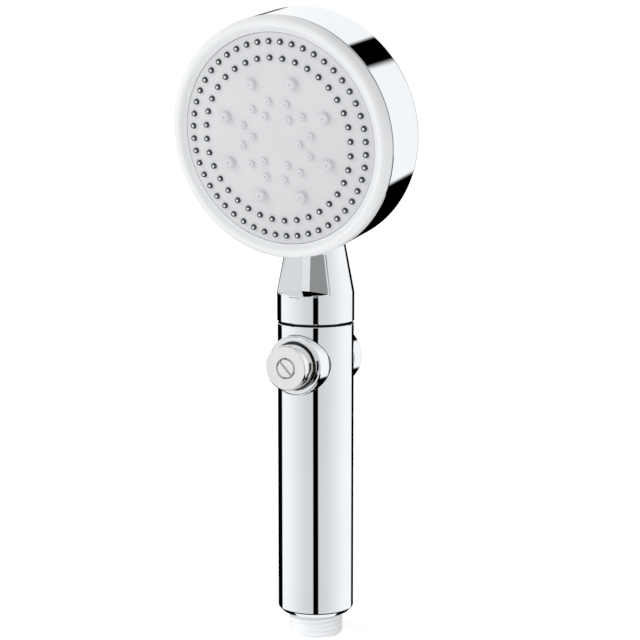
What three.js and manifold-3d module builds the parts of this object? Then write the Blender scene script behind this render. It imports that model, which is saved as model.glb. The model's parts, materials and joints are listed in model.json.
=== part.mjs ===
// Handheld shower head with a turning spray face and a push-through stop valve in its handle.
// Millimetres. Origin at the centre of the hose thread's end face, +Z up the handle, -Y the spray side.
import * as THREE from "three";
import { mergeVertices } from "three/addons/utils/BufferGeometryUtils.js";
import Module from "manifold-3d";

const wasm = await Module();
wasm.setup();

// ---- Driving dimensions ----
const gap = 0.3; // running and seating clearance between neighbouring pieces

// Hose connection: G 1/2 pipe thread
const threadRadius = 10.4775;
const threadPitch = 1.814;
const threadDepth = 1.162;
const threadLength = 9.8;
const inletBoreRadius = 6.8;
const inletBoreDepth = 9.5;
const connectorBoreRadius = 5.2;
const connectorTubeWall = 3.0;

// Handle
const handleTop = 124.0;
const handleRadius = 14.65;
const handleWall = 1.8;
const handleLipHeight = 2.5;
const handleEndChamfer = 1.75;

// Neck
const neckRadius = 14.85;
const neckBand = 11.4; // height of the straight band above the handle
const neckSlope = 0.19; // radius lost per millimetre of height above the band
const neckSocketDepth = 8.7;
const neckRise = 29.6; // handle top to where the handle's axis meets the drum's skirt
const scoopDepth = 8.0; // handle axis to the scoop's flat strip, at the scoop's foot
const scoopStripWidth = 3.4;
const scoopSideRise = 10.2; // degrees
const scoopLean = 3.3; // degrees
const scoopRamp = 12; // degrees

// Head
const headTilt = 10; // degrees that the face looks down
const headRadius = 45.2;
const drumDepth = 21.7;
const drumWall = 2.0;
const drumBackWall = 2.2;
const partingDepth = 3.4; // face plane back to the dial's edge
const neckInset = 20.9; // face plane back to the handle's axis, at the drum's skirt
const spineRadius = 10.4;
const spineLength = 42;

// Dial and spray face
const dialRimWidth = 5.5; // head radius to the ring's inner wall
const dialRimHeight = 1.8;
const dialSleeveWall = 3.2;
const faceThickness = 2.3;
const faceDome = 1.3;
const chamberRibHeight = 5.4;
const ribWall = 1.2;
const matThickness = 1.4;
const plateThickness = 2.5;
const portPlateThickness = 2.0;
const modeCount = 5;
const modeStep = 30; // degrees

// Nozzle rings, each at its share of the face's radius
const matRings = [
  { count: 48, share: 0.919 },
  { count: 36, share: 0.769 },
];
const domeRings = [
  { count: 8, share: 0.571, phase: 22.5, radius: 2.1, rise: 2.0, bore: 0.7 },
  { count: 12, share: 0.372, phase: 7.5, radius: 1.4, rise: 1.1, bore: 0.5 },
  { count: 6, share: 0.249, phase: -7.5, radius: 1.4, rise: 1.1, bore: 0.5 },
];
const tipRadius = 1.05;
const tipRise = 1.0;

// Water chamber
const chamberInset = 8.7; // head radius to the chamber's outside
const chamberWall = 1.8;
const chamberFloor = 2.0;
const postRadius = 4.8;
const lugRadius = 2.9;
const lugHeight = 2.4;
const riserRadius = 5.5;
const riserBore = 3.4;
const bossWall = 1.6;

// Stop valve
const valveDrop = 15.0; // handle top down to the valve's axis
const valveBelow = 13.5;
const spoolBore = 6.0;
const spoolWaist = 3.2;
const portWidth = 4.0;
const collarRadius = 11.46;
const collarOpening = 9.2;
const collarOutside = 16.9;
const valveFlat = 10.0;
const buttonRadius = 8.6;
const buttonProud = 23.5;
const shuttleTravel = 5.5;
const buttonDish = 0.5;

// Fasteners and seals
const screwRadius = 1.4;
const screwHeadRadius = 2.5;
const pivotScrewRadius = 1.7;
const oringRadius = 0.75;
const riserOringRadius = 0.55;

// Facets round each size of round piece
const sidesLarge = 36;
const sidesMedium = 20;
const sidesSmall = 12;
const sidesTiny = 5;
const sidesTip = 4;

// ---- Sizes worked out from these ----
const degree = Math.PI / 180;
const seam = handleTop + gap;
const handleBore = handleRadius - handleWall;
const coreRadius = handleBore - gap - 0.05; // what slides into the handle tube
const neckConeFoot = seam + neckBand;
const entryHeight = handleTop + neckRise;
const tilt = headTilt * degree;
const headPlace = new THREE.Vector3(
  0,
  -headRadius * Math.sin(tilt) - neckInset * Math.cos(tilt),
  entryHeight + headRadius * Math.cos(tilt) - neckInset * Math.sin(tilt),
);
const headTurn = Math.PI / 2 + tilt;
const headFrame = new THREE.Matrix4().makeRotationX(headTurn).setPosition(headPlace);
const headFrameBack = headFrame.clone().invert();

// Depths behind the face plane, each layer a clearance behind the one before
const drumFront = -partingDepth - gap;
const drumBack = drumFront - drumDepth;
const drumInsideBack = drumBack + drumBackWall;
const drumBore = headRadius - drumWall;
const ringBore = headRadius - dialRimWidth;
const faceRadius = ringBore - gap;
const faceBack = -faceThickness;
const matFront = faceBack - gap;
const matBack = matFront - matThickness;
const ribEnd = faceBack - chamberRibHeight;
const plateFront = ribEnd - gap;
const plateBack = plateFront - plateThickness;
const portPlateFront = plateBack - gap;
const portPlateBack = portPlateFront - portPlateThickness;
const chamberFront = portPlateBack - gap;
const chamberBack = drumInsideBack + gap;
const chamberInside = chamberBack + chamberFloor;
const sleeveRadius = drumBore - gap;
const sleeveEnd = portPlateFront - 0.8;

const chamberRadius = headRadius - chamberInset;
const chamberBore = chamberRadius - chamberWall;
const matInner = matRings[1].share * faceRadius - 2.6;
const matOuter = matRings[0].share * faceRadius + 2.4;
const portRadius = chamberRadius - 16.5;
const detentRadius = chamberBore - 5.7;
const lugCircle = (chamberRadius + drumBore) / 2;
const lugFront = sleeveEnd - 3.0;
const lugBack = lugFront - lugHeight;
const lugAngles = [90, 210, 330];

const bossRadius = riserRadius + gap + bossWall;
const drumInsideEntry = entryHeight + drumWall + 0.1;
const bossFoot = drumInsideEntry + gap;
const bossTop = bossFoot + 7.0;
const riserTop = bossFoot + 5.3;
const valveHeight = handleTop - valveDrop;
const valveFoot = valveHeight - valveBelow;
const valveTop = seam + neckSocketDepth - 1.0;
const riserFoot = seam + 2.0;
const outletRadius = riserBore + 0.6;
const inletDuctTop = valveHeight - spoolBore + 1.0;
const spigotRadius = 8.0;
const spigotLength = 4.8;
const spoolNose = -buttonProud + 4.3;
const spoolTail = valveFlat;
const buttonBack = -valveFlat - gap - shuttleTravel;

// ---- Making and joining solids ----

// A closed three.js geometry as a solid that can be joined and cut.
function toSolid(geometry) {
  const bare = geometry.clone();
  bare.deleteAttribute("normal");
  bare.deleteAttribute("uv");
  const merged = mergeVertices(bare, 1e-4);
  return new wasm.Manifold(
    new wasm.Mesh({
      numProp: 3,
      vertProperties: merged.attributes.position.array,
      triVerts: new Uint32Array(merged.index.array),
    }),
  );
}

// The solid's surface as a three.js geometry.
function toGeometry(solid) {
  const mesh = solid.getMesh();
  const geometry = new THREE.BufferGeometry();
  geometry.setAttribute("position", new THREE.BufferAttribute(new Float32Array(mesh.vertProperties), 3));
  geometry.setIndex(new THREE.BufferAttribute(new Uint32Array(mesh.triVerts), 1));
  geometry.computeVertexNormals();
  return geometry;
}

const join = (first, ...others) => others.reduce((whole, other) => whole.add(other), first);
const cut = (first, ...others) => others.reduce((whole, other) => whole.subtract(other), first);

// A profile of [radius, height] points turned about Z. It runs anticlockwise with the axis on its left.
function turnedGeometry(profile, sides) {
  let area = 0;
  profile.forEach(([r, z], i) => {
    const [nextR, nextZ] = profile[(i + 1) % profile.length];
    area += r * nextZ - nextR * z;
  });
  const ordered = area > 0 ? profile : [...profile].reverse();
  const onAxis = ordered.some(([r]) => r === 0);
  let points = ordered;
  if (onAxis) {
    // Start at the first axis point that follows an outer one, so that the path begins and ends on the axis.
    const last = ordered.findIndex(([r], i) => r === 0 && ordered[(i + 1) % ordered.length][0] !== 0);
    points = [...ordered.slice(last), ...ordered.slice(0, last)];
  } else {
    points = [...ordered, ordered[0]];
  }
  const path = points.map(([r, z]) => new THREE.Vector2(r, z));
  return new THREE.LatheGeometry(path, sides).rotateX(Math.PI / 2);
}

const turned = (profile, sides) => toSolid(turnedGeometry(profile, sides));

const discProfile = (radius, low, high) => [[0, low], [radius, low], [radius, high], [0, high]];
const tubeProfile = (inner, outer, low, high) => [[inner, low], [outer, low], [outer, high], [inner, high]];
const disc = (radius, low, high, sides) => turned(discProfile(radius, low, high), sides);
const tube = (inner, outer, low, high, sides) => turned(tubeProfile(inner, outer, low, high), sides);

// A disc with its axis at polar place (ringRadius, angle in degrees).
function discAt(ringRadius, angle, radius, low, high, sides) {
  const geometry = turnedGeometry(discProfile(radius, low, high), sides);
  geometry.translate(ringRadius, 0, 0).rotateZ(angle * degree);
  return toSolid(geometry);
}

// A block between two corners.
function blockGeometry(low, high) {
  const size = high.map((value, i) => value - low[i]);
  const middle = high.map((value, i) => (value + low[i]) / 2);
  return new THREE.BoxGeometry(...size).translate(...middle);
}

// The round seal: a torus about Z.
function seal(ringRadius, height, radius, sides) {
  const geometry = new THREE.TorusGeometry(ringRadius, radius, 5, sides).translate(0, 0, height);
  return toSolid(geometry);
}

// A helix about Z whose section frame always faces the axis.
class Helix extends THREE.Curve {
  constructor(radius, pitch, start, end) {
    super();
    Object.assign(this, { radius, pitch, start, end });
  }
  angleAt(t) {
    return (t * (this.end - this.start) * 2 * Math.PI) / this.pitch;
  }
  getPoint(t) {
    const angle = this.angleAt(t);
    const height = this.start + t * (this.end - this.start);
    return new THREE.Vector3(this.radius * Math.cos(angle), this.radius * Math.sin(angle), height);
  }
  getPointAt(t) {
    return this.getPoint(t);
  }
  computeFrenetFrames(segments) {
    const frames = { tangents: [], normals: [], binormals: [] };
    for (let i = 0; i <= segments; i++) {
      const angle = this.angleAt(i / segments);
      frames.tangents.push(new THREE.Vector3(-Math.sin(angle), Math.cos(angle), 0));
      frames.normals.push(new THREE.Vector3(0, 0, 1));
      frames.binormals.push(new THREE.Vector3(Math.cos(angle), Math.sin(angle), 0));
    }
    return frames;
  }
}

// A section of [outwards, upwards] points swept along a helix.
function coiled(section, helix, stepsPerTurn) {
  const turns = (helix.end - helix.start) / helix.pitch;
  const shape = new THREE.Shape(section.map(([out, up]) => new THREE.Vector2(up, out)));
  const options = { steps: Math.round(turns * stepsPerTurn), extrudePath: helix, bevelEnabled: false };
  return toSolid(new THREE.ExtrudeGeometry(shape, options));
}

// A compression spring of round wire.
function spring(radius, wire, low, high, turns) {
  const section = [];
  for (let i = 0; i < 4; i++) {
    const angle = (i * Math.PI) / 2;
    section.push([wire * Math.cos(angle), wire * Math.sin(angle)]);
  }
  const pitch = (high - low - 2 * wire) / turns;
  return coiled(section, new Helix(radius, pitch, low + wire, high - wire), 8);
}

// A machine screw along Z with its head's underside at seat and a hexagonal socket in the head.
function screw(shankRadius, headRadius, headHeight, seat, tip, sides) {
  const body = turned(
    [
      [0, tip],
      [shankRadius * 0.6, tip],
      [shankRadius, tip + shankRadius * 0.6],
      [shankRadius, seat],
      [headRadius, seat],
      [headRadius, seat + headHeight * 0.75],
      [headRadius * 0.85, seat + headHeight],
      [0, seat + headHeight],
    ],
    sides,
  );
  const socket = disc(headRadius * 0.5, seat + headHeight * 0.45, seat + headHeight + 1, 6);
  return cut(body, socket);
}

// ---- Materials ----
const finishes = {
  chrome: { color: 0xd9dde0, roughness: 0.08, metalness: 1.0 },
  whitePlastic: { color: 0xf0f1f0, roughness: 0.32, metalness: 0.0 },
  satinPlastic: { color: 0xe4e6e7, roughness: 0.42, metalness: 0.0 },
  innerPlastic: { color: 0xcfd2d2, roughness: 0.55, metalness: 0.0 },
  greyRubber: { color: 0x6d7276, roughness: 0.6, metalness: 0.0 },
  blackRubber: { color: 0x1d1e1f, roughness: 0.65, metalness: 0.0 },
  steel: { color: 0xb9bbbd, roughness: 0.3, metalness: 1.0 },
  brass: { color: 0xc9a865, roughness: 0.3, metalness: 1.0 },
};

function addPiece(group, name, solid, finish) {
  const material = new THREE.MeshStandardMaterial(finishes[finish]);
  const mesh = new THREE.Mesh(toGeometry(solid), material);
  mesh.name = name;
  group.add(mesh);
}

// ---- Handle pieces, in the part's own frame ----

// A cylinder along Y through the valve's axis.
function acrossHandle(radius, from, to, sides) {
  const geometry = turnedGeometry(discProfile(radius, from, to), sides);
  return toSolid(geometry.rotateX(-Math.PI / 2).translate(0, 0, valveHeight));
}

function handleShell() {
  const chamfer = 0.35;
  const tubeBody = turned(
    [
      [threadRadius + gap + 0.15, threadLength],
      [handleRadius - handleEndChamfer, threadLength],
      [handleRadius, threadLength + handleEndChamfer],
      [handleRadius, handleTop - chamfer],
      [handleRadius - chamfer, handleTop],
      [handleBore, handleTop],
      [handleBore, threadLength + handleLipHeight],
      [threadRadius + gap + 0.15, threadLength + handleLipHeight],
    ],
    sidesMedium,
  );
  return cut(tubeBody, acrossHandle(collarRadius + gap, -handleRadius - 5, handleRadius + 5, sidesMedium));
}

function hoseConnector() {
  const coreEnd = threadRadius - threadDepth;
  const flangeFoot = threadLength + handleLipHeight + gap;
  const flangeTop = flangeFoot + 3.4;
  const tubeRadius = connectorBoreRadius + connectorTubeWall;
  const shoulder = valveFoot - gap;
  const grooveFloor = spigotRadius - 2 * oringRadius - 0.15;
  const spigotMiddle = shoulder + spigotLength / 2;
  const grooveHalf = oringRadius + 0.2;
  const body = turned(
    [
      [inletBoreRadius, 0],
      [coreEnd - 0.12, 0],
      [coreEnd, 0.3],
      [coreEnd, threadLength - 0.4],
      [threadRadius - 0.15, threadLength - 0.2],
      [threadRadius - 0.15, flangeFoot],
      [coreRadius, flangeFoot],
      [coreRadius, flangeTop],
      [tubeRadius, flangeTop + 1.5],
      [tubeRadius, shoulder - 5.5],
      [coreRadius, shoulder - 3.5],
      [coreRadius, shoulder],
      [spigotRadius, shoulder],
      [spigotRadius, spigotMiddle - grooveHalf],
      [grooveFloor, spigotMiddle - grooveHalf],
      [grooveFloor, spigotMiddle + grooveHalf],
      [spigotRadius, spigotMiddle + grooveHalf],
      [spigotRadius, shoulder + spigotLength],
      [connectorBoreRadius, shoulder + spigotLength],
      [connectorBoreRadius, inletBoreDepth],
      [inletBoreRadius, inletBoreDepth],
    ],
    sidesMedium,
  );
  const rootHalf = threadPitch * 0.44;
  const buried = 0.25;
  const ridge = coiled(
    [
      [-buried, -rootHalf],
      [threadDepth, 0],
      [-buried, rootHalf],
    ],
    new Helix(coreEnd, threadPitch, -threadPitch / 2, threadLength - 0.5 - rootHalf),
    10,
  );
  const envelope = turned(
    [
      [inletBoreRadius + 0.5, 0],
      [coreEnd + 0.1, 0],
      [threadRadius + 0.1, threadDepth],
      [threadRadius + 0.1, threadLength - 0.1],
      [inletBoreRadius + 0.5, threadLength - 0.1],
    ],
    sidesMedium,
  );
  return join(body, ridge.intersect(envelope));
}

function inletStrainer() {
  const top = inletBoreDepth - 2.3 - 2 * gap;
  let body = disc(inletBoreRadius - gap, top - 1.4, top, sidesSmall);
  body = cut(body, disc(0.9, top - 2, top + 1, sidesTiny));
  for (const [count, ring] of [[5, 2.6], [8, 4.8]]) {
    for (let i = 0; i < count; i++) {
      body = cut(body, discAt(ring, (i * 360) / count, 0.9, top - 2, top + 1, sidesTiny));
    }
  }
  return body;
}

function flowRegulator() {
  const top = inletBoreDepth - gap;
  const foot = top - 2.3;
  let body = turned(
    [
      [0, foot + 0.6],
      [1.6, foot + 0.6],
      [2.4, foot],
      [inletBoreRadius - gap, foot],
      [inletBoreRadius - gap, top],
      [0, top],
    ],
    sidesSmall,
  );
  for (let i = 0; i < 8; i++) {
    body = cut(body, discAt(3.9, i * 45, 0.8, foot - 1, top + 1, sidesTiny));
  }
  return body;
}

function valveBody() {
  const socketTop = valveFoot + spigotLength + gap;
  const grooveHalf = oringRadius + 0.2;
  const grooveHeight = seam + 3.7;
  const grooveFloor = coreRadius - 2 * oringRadius - 0.1;
  const inletRadius = connectorBoreRadius - 0.2;
  const outside = turned(
    [
      [0, valveFoot],
      [coreRadius, valveFoot],
      [coreRadius, grooveHeight - grooveHalf],
      [grooveFloor, grooveHeight - grooveHalf],
      [grooveFloor, grooveHeight + grooveHalf],
      [coreRadius, grooveHeight + grooveHalf],
      [coreRadius, valveTop],
      [0, valveTop],
    ],
    sidesMedium,
  );
  const reach = coreRadius + 2;
  const slot = toSolid(
    blockGeometry(
      [-inletRadius + 0.6, -portWidth / 2, inletDuctTop - 2],
      [inletRadius - 0.6, portWidth / 2, 2 * valveHeight - inletDuctTop + 2],
    ),
  );
  return cut(
    outside,
    disc(spigotRadius + gap, valveFoot - 1, socketTop, sidesMedium),
    disc(inletRadius, valveFoot - 1, inletDuctTop - 2, sidesSmall),
    disc(outletRadius, 2 * valveHeight - inletDuctTop + 2, riserFoot, sidesSmall),
    disc(riserRadius + gap, riserFoot - gap, valveTop + 1, sidesSmall),
    slot,
    acrossHandle(spoolBore, -reach, reach, sidesSmall),
    acrossHandle(collarRadius + gap, -reach, -valveFlat, sidesMedium),
    acrossHandle(collarRadius + gap, valveFlat, reach, sidesMedium),
  );
}

function riserTube() {
  const groove = (height) => [
    [riserRadius, height - riserOringRadius - 0.15],
    [riserRadius - 2 * riserOringRadius - 0.1, height - riserOringRadius - 0.15],
    [riserRadius - 2 * riserOringRadius - 0.1, height + riserOringRadius + 0.15],
    [riserRadius, height + riserOringRadius + 0.15],
  ];
  return turned(
    [
      [riserBore, riserFoot],
      [riserRadius, riserFoot],
      ...groove(riserFoot + 3),
      ...groove(riserTop - 2.2),
      [riserRadius, riserTop],
      [riserBore, riserTop],
    ],
    sidesSmall,
  );
}

function addHandlePieces(group) {
  const riserSeal = riserRadius - riserOringRadius + 0.1;
  const spigotSeal = spigotRadius - oringRadius + 0.1;
  const neckSeal = coreRadius - oringRadius + 0.15;
  const shoulder = valveFoot - gap;
  addPiece(group, "handle_shell", handleShell(), "chrome");
  addPiece(group, "hose_connector", hoseConnector(), "whitePlastic");
  addPiece(group, "inlet_strainer", inletStrainer(), "innerPlastic");
  addPiece(group, "flow_regulator", flowRegulator(), "greyRubber");
  const spigotRing = seal(spigotSeal, shoulder + spigotLength / 2, oringRadius, sidesSmall);
  addPiece(group, "connector_oring", spigotRing, "blackRubber");
  addPiece(group, "valve_body", valveBody(), "innerPlastic");
  addPiece(group, "neck_oring", seal(neckSeal, seam + 3.7, oringRadius, sidesSmall), "blackRubber");
  addPiece(group, "riser_tube", riserTube(), "innerPlastic");
  const lowerRing = seal(riserSeal, riserFoot + 3, riserOringRadius, sidesSmall);
  addPiece(group, "riser_oring_lower", lowerRing, "blackRubber");
  const upperRing = seal(riserSeal, riserTop - 2.2, riserOringRadius, sidesSmall);
  addPiece(group, "riser_oring_upper", upperRing, "blackRubber");
}

// ---- Stop valve pieces, in a frame whose Z is the part's +Y ----

function collar() {
  return turned(
    [
      [collarOpening, valveFlat + gap],
      [collarRadius, valveFlat + gap],
      [collarRadius, collarOutside - 0.6],
      [collarRadius - 0.6, collarOutside],
      [collarOpening + 0.5, collarOutside],
      [collarOpening, collarOutside - 0.5],
    ],
    sidesMedium,
  );
}

function frontButton() {
  const noseHole = spoolNose - gap;
  return turned(
    [
      [0, -buttonProud + buttonDish],
      [buttonRadius * 0.55, -buttonProud + buttonDish * 0.7],
      [buttonRadius - 0.9, -buttonProud],
      [buttonRadius, -buttonProud + 0.9],
      [buttonRadius, buttonBack],
      [4.5 + gap, buttonBack],
      [4.5 + gap, noseHole],
      [0, noseHole],
    ],
    sidesMedium,
  );
}

function rearButton() {
  const foot = valveFlat + gap;
  const face = collarOutside - 0.5;
  return turned(
    [
      [0, face - buttonDish],
      [buttonRadius * 0.55, face - buttonDish * 0.7],
      [buttonRadius - 0.9, face],
      [buttonRadius, face - 0.9],
      [buttonRadius, foot],
      [screwRadius + gap, foot],
      [screwRadius + gap, face - 2],
      [0, face - 2],
    ],
    sidesMedium,
  );
}

const spoolSeals = [-8.1, -2.7, 2.7];

function shuttleSpool() {
  const land = spoolBore - gap;
  const floor = land - 2 * oringRadius - 0.1;
  const half = oringRadius + 0.2;
  const groove = (y) => [
    [land, y - half],
    [floor, y - half],
    [floor, y + half],
    [land, y + half],
  ];
  const waistHalf = portWidth / 2 - 0.25;
  const wall = screwRadius + gap;
  return turned(
    [
      [screwHeadRadius + gap, spoolNose],
      [4.5, spoolNose],
      [4.5, buttonBack],
      [land, buttonBack + 0.5],
      ...groove(spoolSeals[0]),
      ...groove(spoolSeals[1]),
      [land, -waistHalf + 0.1],
      [spoolWaist, -waistHalf + 0.3],
      [spoolWaist, waistHalf - 0.3],
      [land, waistHalf - 0.1],
      ...groove(spoolSeals[2]),
      [land, spoolTail - 0.6],
      [land - 0.6, spoolTail],
      [wall, spoolTail],
      [wall, spoolNose + 2.6],
      [screwHeadRadius + gap, spoolNose + 2.6],
    ],
    sidesSmall,
  );
}

function shuttleScrew() {
  // Drawn with its head up, then turned over: the head faces the front button.
  const seat = -(spoolNose + 2.6 - gap);
  const tip = -(collarOutside - 2.5 - gap);
  const geometry = toGeometry(screw(screwRadius, screwHeadRadius, 1.9, seat, tip, 12));
  return toSolid(geometry.rotateX(Math.PI));
}

function addStopValvePieces(group) {
  const sealRadius = spoolBore - oringRadius - 0.15;
  addPiece(group, "rear_collar", collar(), "chrome");
  addPiece(group, "front_collar", toSolid(toGeometry(collar()).rotateX(Math.PI)), "chrome");
  addPiece(group, "front_button", frontButton(), "chrome");
  addPiece(group, "rear_button", rearButton(), "chrome");
  addPiece(group, "shuttle_spool", shuttleSpool(), "brass");
  addPiece(group, "shuttle_screw", shuttleScrew(), "steel");
  spoolSeals.forEach((y, i) => {
    addPiece(group, `spool_oring_${i + 1}`, seal(sealRadius, y, oringRadius, sidesSmall), "blackRubber");
  });
}

// ---- Head shell, in the part's own frame ----

// The scoop in the neck's front: a flat strip between two rising sides, closed below by a ramp.
function neckScoop() {
  const half = scoopStripWidth / 2;
  const reach = neckRadius + 6;
  const sideTop = scoopDepth + (reach - half) * Math.tan(scoopSideRise * degree);
  const outline = new THREE.Shape([
    new THREE.Vector2(-half, -scoopDepth),
    new THREE.Vector2(-reach, -sideTop),
    new THREE.Vector2(-reach, -reach - 6),
    new THREE.Vector2(reach, -reach - 6),
    new THREE.Vector2(reach, -sideTop),
    new THREE.Vector2(half, -scoopDepth),
  ]);
  const height = neckRise + 20;
  const prism = new THREE.ExtrudeGeometry(outline, { depth: height + 10, bevelEnabled: false });
  prism.translate(0, scoopDepth, -10).rotateX(-scoopLean * degree).translate(0, -scoopDepth, neckConeFoot);
  const above = blockGeometry([-30, -60, 0], [30, 60, height + 30]);
  above.rotateX(scoopRamp * degree).translate(0, -neckRadius, neckConeFoot - 0.7);
  return toSolid(prism).intersect(toSolid(above));
}

function neckSolid() {
  const top = entryHeight + 6;
  const topRadius = neckRadius - (top - neckConeFoot) * neckSlope;
  const blank = turned(
    [
      [0, seam],
      [neckRadius - 0.35, seam],
      [neckRadius, seam + 0.35],
      [neckRadius, neckConeFoot],
      [topRadius, top],
      [0, top],
    ],
    sidesMedium,
  );
  return cut(blank, neckScoop());
}

// The rounded ridge that carries the neck's line up the back of the drum.
function spineSolid() {
  const foot = -headRadius + 1.0;
  const profile = [[0, 0], [spineRadius, 0]];
  const steps = 9;
  for (let i = 1; i < steps; i++) {
    const t = i / steps;
    profile.push([spineRadius * Math.sqrt(1 - t ** 2.6), spineLength * t]);
  }
  profile.push([0, spineLength]);
  const geometry = turnedGeometry(profile, 24);
  geometry.rotateX(-Math.PI / 2).translate(0, foot, -neckInset - 0.6);
  return toSolid(geometry.applyMatrix4(headFrame));
}

function headShell() {
  const edge = 1.2;
  const drum = toSolid(
    turnedGeometry(
      [
        [0, drumBack],
        [headRadius - edge, drumBack],
        [headRadius - edge * 0.3, drumBack + edge * 0.3],
        [headRadius, drumBack + edge],
        [headRadius, drumFront - 0.25],
        [headRadius - 0.25, drumFront],
        [0, drumFront],
      ],
      sidesLarge,
    ).applyMatrix4(headFrame),
  );
  const inside = toSolid(
    turnedGeometry(discProfile(drumBore, drumInsideBack, drumFront + 5), sidesLarge).applyMatrix4(headFrame),
  );
  const bossRoom = disc(bossRadius + gap, drumInsideEntry, bossTop + gap, sidesSmall);
  let shell = join(drum, spineSolid(), neckSolid());
  shell = cut(shell, inside, bossRoom);
  for (const angle of lugAngles) {
    const column = turnedGeometry(discProfile(lugRadius, drumInsideBack - 0.5, lugBack - gap), 12);
    const pilot = turnedGeometry(discProfile(screwRadius + gap, drumInsideBack + 0.8, lugBack + 1), 12);
    for (const geometry of [column, pilot]) {
      geometry.translate(lugCircle, 0, 0).rotateZ(angle * degree).applyMatrix4(headFrame);
    }
    shell = cut(join(shell, toSolid(column)), toSolid(pilot));
  }
  return cut(
    shell,
    disc(handleBore, seam - 1, seam + neckSocketDepth, sidesMedium),
    disc(riserRadius + gap, seam, bossFoot + 1, sidesSmall),
  );
}

// ---- Head pieces, in the head's frame: Z out of the face, Y up it ----

const domeHeight = (r) => faceDome * (1 - (r / (matRings[0].share * faceRadius)) ** 2);

function dialRing() {
  const grooveHeight = (drumFront + sleeveEnd) / 2;
  const grooveHalf = oringRadius + 0.3;
  const grooveFloor = sleeveRadius - 2 * oringRadius - 0.2;
  const lip = 0.8;
  const body = turned(
    [
      [ringBore, domeHeight(faceRadius)],
      [ringBore + 1.7, dialRimHeight - 0.3],
      [ringBore + 2.6, dialRimHeight],
      [headRadius - 1.1, dialRimHeight / 3],
      [headRadius - 0.2, -1.5],
      [headRadius, -partingDepth],
      [sleeveRadius, -partingDepth],
      [sleeveRadius, grooveHeight + grooveHalf],
      [grooveFloor, grooveHeight + grooveHalf],
      [grooveFloor, grooveHeight - grooveHalf],
      [sleeveRadius, grooveHeight - grooveHalf],
      [sleeveRadius, sleeveEnd],
      [ringBore - lip, sleeveEnd],
      [ringBore - lip, plateBack - gap],
      [ringBore, plateBack - gap],
    ],
    sidesLarge,
  );
  const keys = lugAngles.map((angle) => {
    const key = blockGeometry([ringBore - 1.4, -1.8, plateBack], [ringBore + 0.8, 1.8, plateFront]);
    return toSolid(key.rotateZ((angle + 60) * degree));
  });
  return join(body, ...keys);
}

function sprayFace() {
  const front = [];
  for (const share of [0, 0.5, 1]) {
    front.push([faceRadius * share, domeHeight(faceRadius * share)]);
  }
  const ribOuter = matInner - gap;
  const ribMiddle = ((domeRings[0].share + domeRings[1].share) / 2) * faceRadius;
  let body = turned([[0, faceBack], [faceRadius, faceBack], ...front.reverse()], sidesLarge);
  body = join(
    body,
    tube(ribOuter - ribWall, ribOuter, ribEnd, faceBack + 0.5, sidesMedium),
    tube(ribMiddle - ribWall / 2, ribMiddle + ribWall / 2, ribEnd, faceBack + 0.5, sidesMedium),
  );
  for (const ring of domeRings) {
    const r = ring.share * faceRadius;
    const sides = ring.radius > 2 ? 8 : 5;
    const base = domeHeight(r);
    for (let i = 0; i < ring.count; i++) {
      const angle = (ring.phase + (i * 360) / ring.count) * degree;
      const dome = turnedGeometry(
        [
          [0, base - 0.8],
          [ring.radius, base - 0.8],
          [ring.radius, base + ring.rise * 0.4],
          [ring.radius * 0.5, base + ring.rise],
          [0, base + ring.rise],
        ],
        sides,
      );
      const bore = turnedGeometry(discProfile(ring.bore, faceBack - 1, base + ring.rise + 1), 4);
      body = join(body, toSolid(dome.translate(r, 0, 0).rotateZ(angle)));
      body = cut(body, toSolid(bore.translate(r, 0, 0).rotateZ(angle)));
    }
  }
  for (const ring of matRings) {
    for (let i = 0; i < ring.count; i++) {
      const r = ring.share * faceRadius;
      const angle = (i * 360) / ring.count;
      body = cut(body, discAt(r, angle, tipRadius + gap * Math.SQRT2, faceBack - 1, faceDome + 2, sidesTip));
    }
  }
  return body;
}

function nozzleMat() {
  let body = tube(matInner, matOuter, matBack, matFront, sidesMedium);
  for (const ring of matRings) {
    const r = ring.share * faceRadius;
    for (let i = 0; i < ring.count; i++) {
      const tip = turnedGeometry(
        [
          [0, matBack + 0.5],
          [tipRadius, matBack + 0.5],
          [tipRadius * 0.85, domeHeight(r) + tipRise],
          [0, domeHeight(r) + tipRise],
        ],
        sidesTip,
      );
      const angle = (i * 2 * Math.PI) / ring.count;
      body = join(body, toSolid(tip.translate(r, 0, 0).rotateZ(angle)));
    }
  }
  return body;
}

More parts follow.
